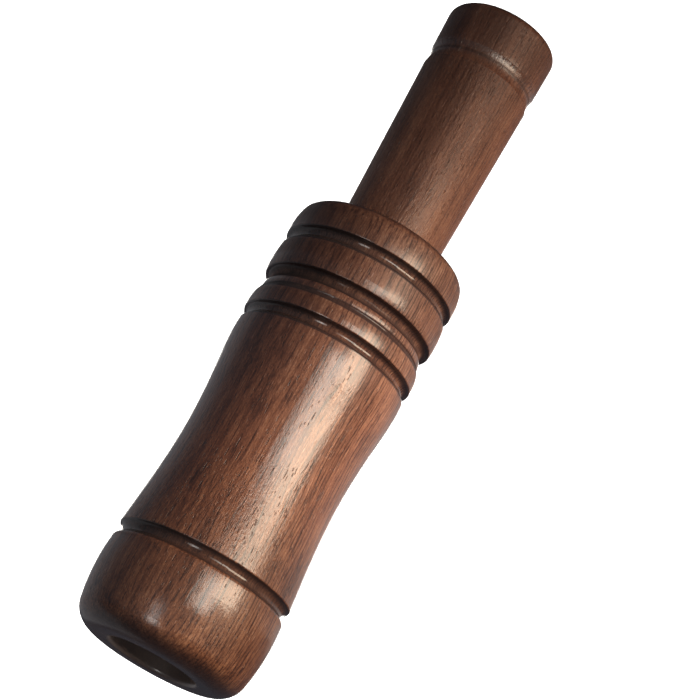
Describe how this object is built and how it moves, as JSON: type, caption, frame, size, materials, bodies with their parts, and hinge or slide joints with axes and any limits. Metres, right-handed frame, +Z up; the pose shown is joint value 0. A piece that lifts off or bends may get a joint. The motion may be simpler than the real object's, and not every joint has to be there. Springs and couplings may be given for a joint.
{
  "type": "duck call",
  "caption": "Turned wooden duck call: waisted barrel with mouth bell and ringed collar, pull-out flared stem carrying a tone board, wedge-clamped reeds and sealing rings.",
  "frame": {"origin": "the middle of the exhaust end, which the call stands on", "axes": "+Z up along the call's axis from the exhaust end to the mouth, -Y the side of the tone board that the reeds are on"},
  "size_m": [0.0344, 0.0344, 0.1386],
  "materials": {
    "barrel_walnut": "clear gloss lacquer on dark walnut",
    "stem_walnut": "satin lacquer on dark walnut",
    "board_plastic": "moulded black, satin",
    "reed_film": "frosted polyester sheet",
    "cork": "natural cork",
    "o_ring_rubber": "black nitrile"
  },
  "bodies": {
    "barrel": {"barrel": "barrel_walnut"},
    "rings": {"front_o_ring": "o_ring_rubber", "rear_o_ring": "o_ring_rubber"},
    "insert": {"stem": "stem_walnut", "tone_board": "board_plastic", "wedge": "cork"},
    "long_reed": {"long_reed": "reed_film"},
    "short_reed": {"short_reed": "reed_film"}
  },
  "joints": [
    {"name": "barrel_twist", "type": "hinge", "parent": "insert", "child": "rings", "pos_m": [0, 0, 0.0586], "axis": [0, 0, 1], "continuous": true},
    {"name": "barrel_pull", "type": "slide", "parent": "rings", "child": "barrel", "axis": [0, 0, 1], "range_m": [0, 0.08]},
    {"name": "long_reed_flex", "type": "hinge", "parent": "insert", "child": "long_reed", "pos_m": [0, -0.00104, 0.07905], "axis": [1, 0, 0], "range_deg": [-0.8, 1], "stiffness_Nm_per_rad": 0.05},
    {"name": "short_reed_flex", "type": "hinge", "parent": "insert", "child": "short_reed", "pos_m": [0, -0.00104, 0.07905], "axis": [1, 0, 0], "range_deg": [-0.8, 1], "stiffness_Nm_per_rad": 0.05}
  ],
  "couplings": [
    {"joint": "short_reed_flex", "follows": "long_reed_flex", "ratio": 1}
  ]
}
